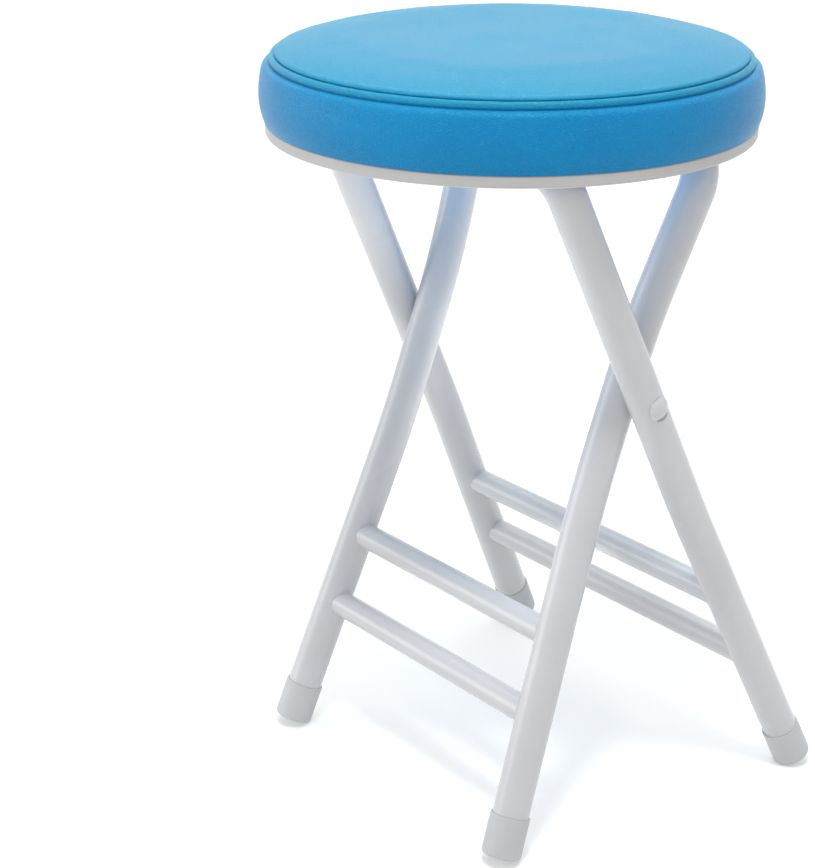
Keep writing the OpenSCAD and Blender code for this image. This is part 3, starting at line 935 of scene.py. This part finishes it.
# %% Beads on each frame
for body, (lean, splay, rungs) in RUNGS.items():
    beads = []
    for rung in rungs:
        for side in (-1, 1):
            line = closed_line(joint_line(rung, lean, splay, side))
            beads.append(run_tree(weld, line, f"{rung}_bead", Finish=coat))
    with bpy.context.temp_override(
        active_object=beads[0], selected_editable_objects=beads
    ):
        bpy.ops.object.join()
    welds = beads[0]
    welds.name = f"{body}_welds"
    smooth(welds, 60)
    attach(welds, body)
    print(welds.name, "faces:", len(welds.data.polygons))

# %% [markdown]
# ## Floor and room
# The stool stands in a bright white room on a pale floor, which keeps a soft
# shadow. The picture's white isn't made with more light on the stool: only the
# camera, and the rays that gloss and glass send on, see the room at full white
# and a glow in the floor. The glow grows away from the stool, so that the floor
# fades into the room.

# %% Floor and world
SEEING = ("Camera", "Glossy", "Transmission")
WHITE, BLACK = (1.0, 1.0, 1.0), (0.0, 0.0, 0.0)
FLOOR_GREY, FLOOR_SIZE = (0.86, 0.86, 0.86), 30.0
GLOW_NEAR, GLOW_FAR = (0.8, 0.27), (3.5, 0.48)  # metres from the stool, strength
ROOM_SEEN, ROOM_LIT = 1.0, 0.62


def is_seen(g):
    """1 for the rays that show a background, and 0 for those that only light."""
    rays = [g.node("ShaderNodeLightPath", {}, {}, f"Is {ray} Ray") for ray in SEEING]
    return (rays[0] + rays[1] + rays[2]).clamp()


def floor_material():
    g = new_material("pale floor")
    measure = {"operation": "LENGTH"}
    away = g.node("ShaderNodeVectorMath", measure, {0: g.place}, "Value")
    glow = g.ramp(away, GLOW_NEAR[0], GLOW_FAR[0], GLOW_NEAR[1], GLOW_FAR[1])
    return g.finish(
        Base_Color=FLOOR_GREY,
        Roughness=0.9,
        Emission_Color=g.mix(glow, BLACK, WHITE),
        Emission_Strength=is_seen(g),
    )


def make_floor():
    data = bpy.data.meshes.new("floor")
    s = FLOOR_SIZE / 2
    corners = [(-s, -s, 0), (s, -s, 0), (s, s, 0), (-s, s, 0)]
    data.from_pydata(corners, [], [(0, 1, 2, 3)])
    data.materials.append(floor_material())
    put("floor", data)


def make_world():
    scene.world = bpy.data.worlds.new("white room")
    g = Surface(scene.world, "Background", "OutputWorld")
    g.finish(Color=WHITE, Strength=g.ramp(is_seen(g), 0, 1, ROOM_LIT, ROOM_SEEN))


make_floor()
make_world()
print("the room lights at", ROOM_LIT, "and shows at", ROOM_SEEN)

# %% [markdown]
# ## Lamps
# A large soft key lamp stands low on the viewer's left, and a wide cool softbox
# hangs overhead. A small lamp above the front draws the sparkle on the grain and
# the grooves. The white floor throws more light up under the seat than one
# bounce in a render does, so a narrow spot on the floor points straight up.

# %% Lamps
SKY = (0.92, 1.0, 0.98)


def add_lamp(name, kind, place, target, power, **settings):
    """A lamp at a place, aimed at a target, with settings of its own kind."""
    data = bpy.data.lights.new(name, kind)
    data.energy = power
    for key, value in settings.items():
        setattr(data, key, value)
    lamp = put(name, data)
    lamp.location = place
    aim = Vector(target) - Vector(place)
    lamp.rotation_euler = aim.to_track_quat("-Z", "Y").to_euler()


def add_disc(name, place, target, power, size, tint=WHITE):
    """A round softbox."""
    add_lamp(name, "AREA", place, target, power, shape="DISK", size=size, color=tint)


add_disc("key", (-1.9, -2.2, 0.5), (0, 0, 0.3), power=18, size=1.8)
upward = {"shadow_soft_size": 0.12, "spot_size": math.radians(60), "spot_blend": 0.7}
add_lamp("floor bounce", "SPOT", (0, 0, 0.02), (0, 0, 1), power=9.5, **upward)
add_disc("top", (-0.6, 0.5, 2.0), (0, 0, 0.4), power=15, size=2.2, tint=SKY)
add_disc("sparkle", (0.5, -0.42, 2.0), (0, 0, 0.4), power=13, size=0.3)
scene.view_settings.view_transform = "Standard"
print("lamps:", [lamp.name for lamp in bpy.data.lights])

# %% [markdown]
